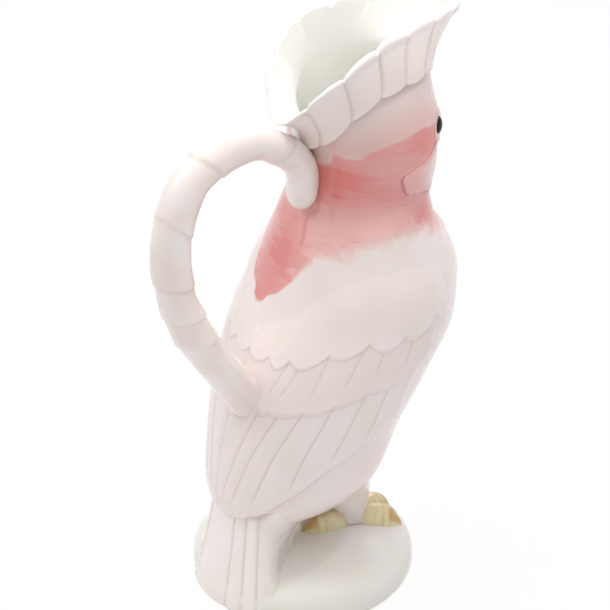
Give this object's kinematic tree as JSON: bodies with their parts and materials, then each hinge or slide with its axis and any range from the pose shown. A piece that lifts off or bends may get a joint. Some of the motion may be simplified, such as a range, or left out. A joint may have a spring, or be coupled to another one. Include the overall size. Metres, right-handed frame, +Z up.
{
  "type": "bird-shaped carafe",
  "caption": "Glazed earthenware carafe shaped as a standing cockatoo: the raised crest is the pouring mouth, a branch-like handle joins nape and back, and a round plinth is its foot.",
  "frame": {"origin": "middle of the flat underside of the plinth, on the table", "axes": "+Z up; +X the way the bird faces and pours; +Y the bird's left side"},
  "size_m": [0.195, 0.118, 0.2971],
  "materials": {
    "plinth_glaze": "glossy warm cream glaze",
    "rose_glaze": "pink underglaze brushwork under a clear glossy glaze",
    "crest_glaze": "pale pinkish glossy glaze, cream inside",
    "branch_glaze": "pale pinkish grey glossy glaze",
    "plumage_glaze": "pinkish white glossy glaze",
    "ochre_glaze": "brushed ochre under a clear glossy glaze",
    "black_glaze": "glossy black glaze"
  },
  "bodies": {
    "root": {"base_plinth": "plinth_glaze", "body_shell": "rose_glaze", "crest_spout": "crest_glaze", "handle": "branch_glaze", "tail_fan": "plumage_glaze", "upper_beak": "ochre_glaze", "lower_beak": "ochre_glaze", "right_wing_coverts": "plumage_glaze", "right_wing_secondaries": "plumage_glaze", "right_wing_primaries": "plumage_glaze", "right_leg": "rose_glaze", "right_foot": "ochre_glaze", "right_eye": "black_glaze", "left_wing_coverts": "plumage_glaze", "left_wing_secondaries": "plumage_glaze", "left_wing_primaries": "plumage_glaze", "left_leg": "rose_glaze", "left_foot": "ochre_glaze", "left_eye": "black_glaze"}
  },
  "joints": []
}
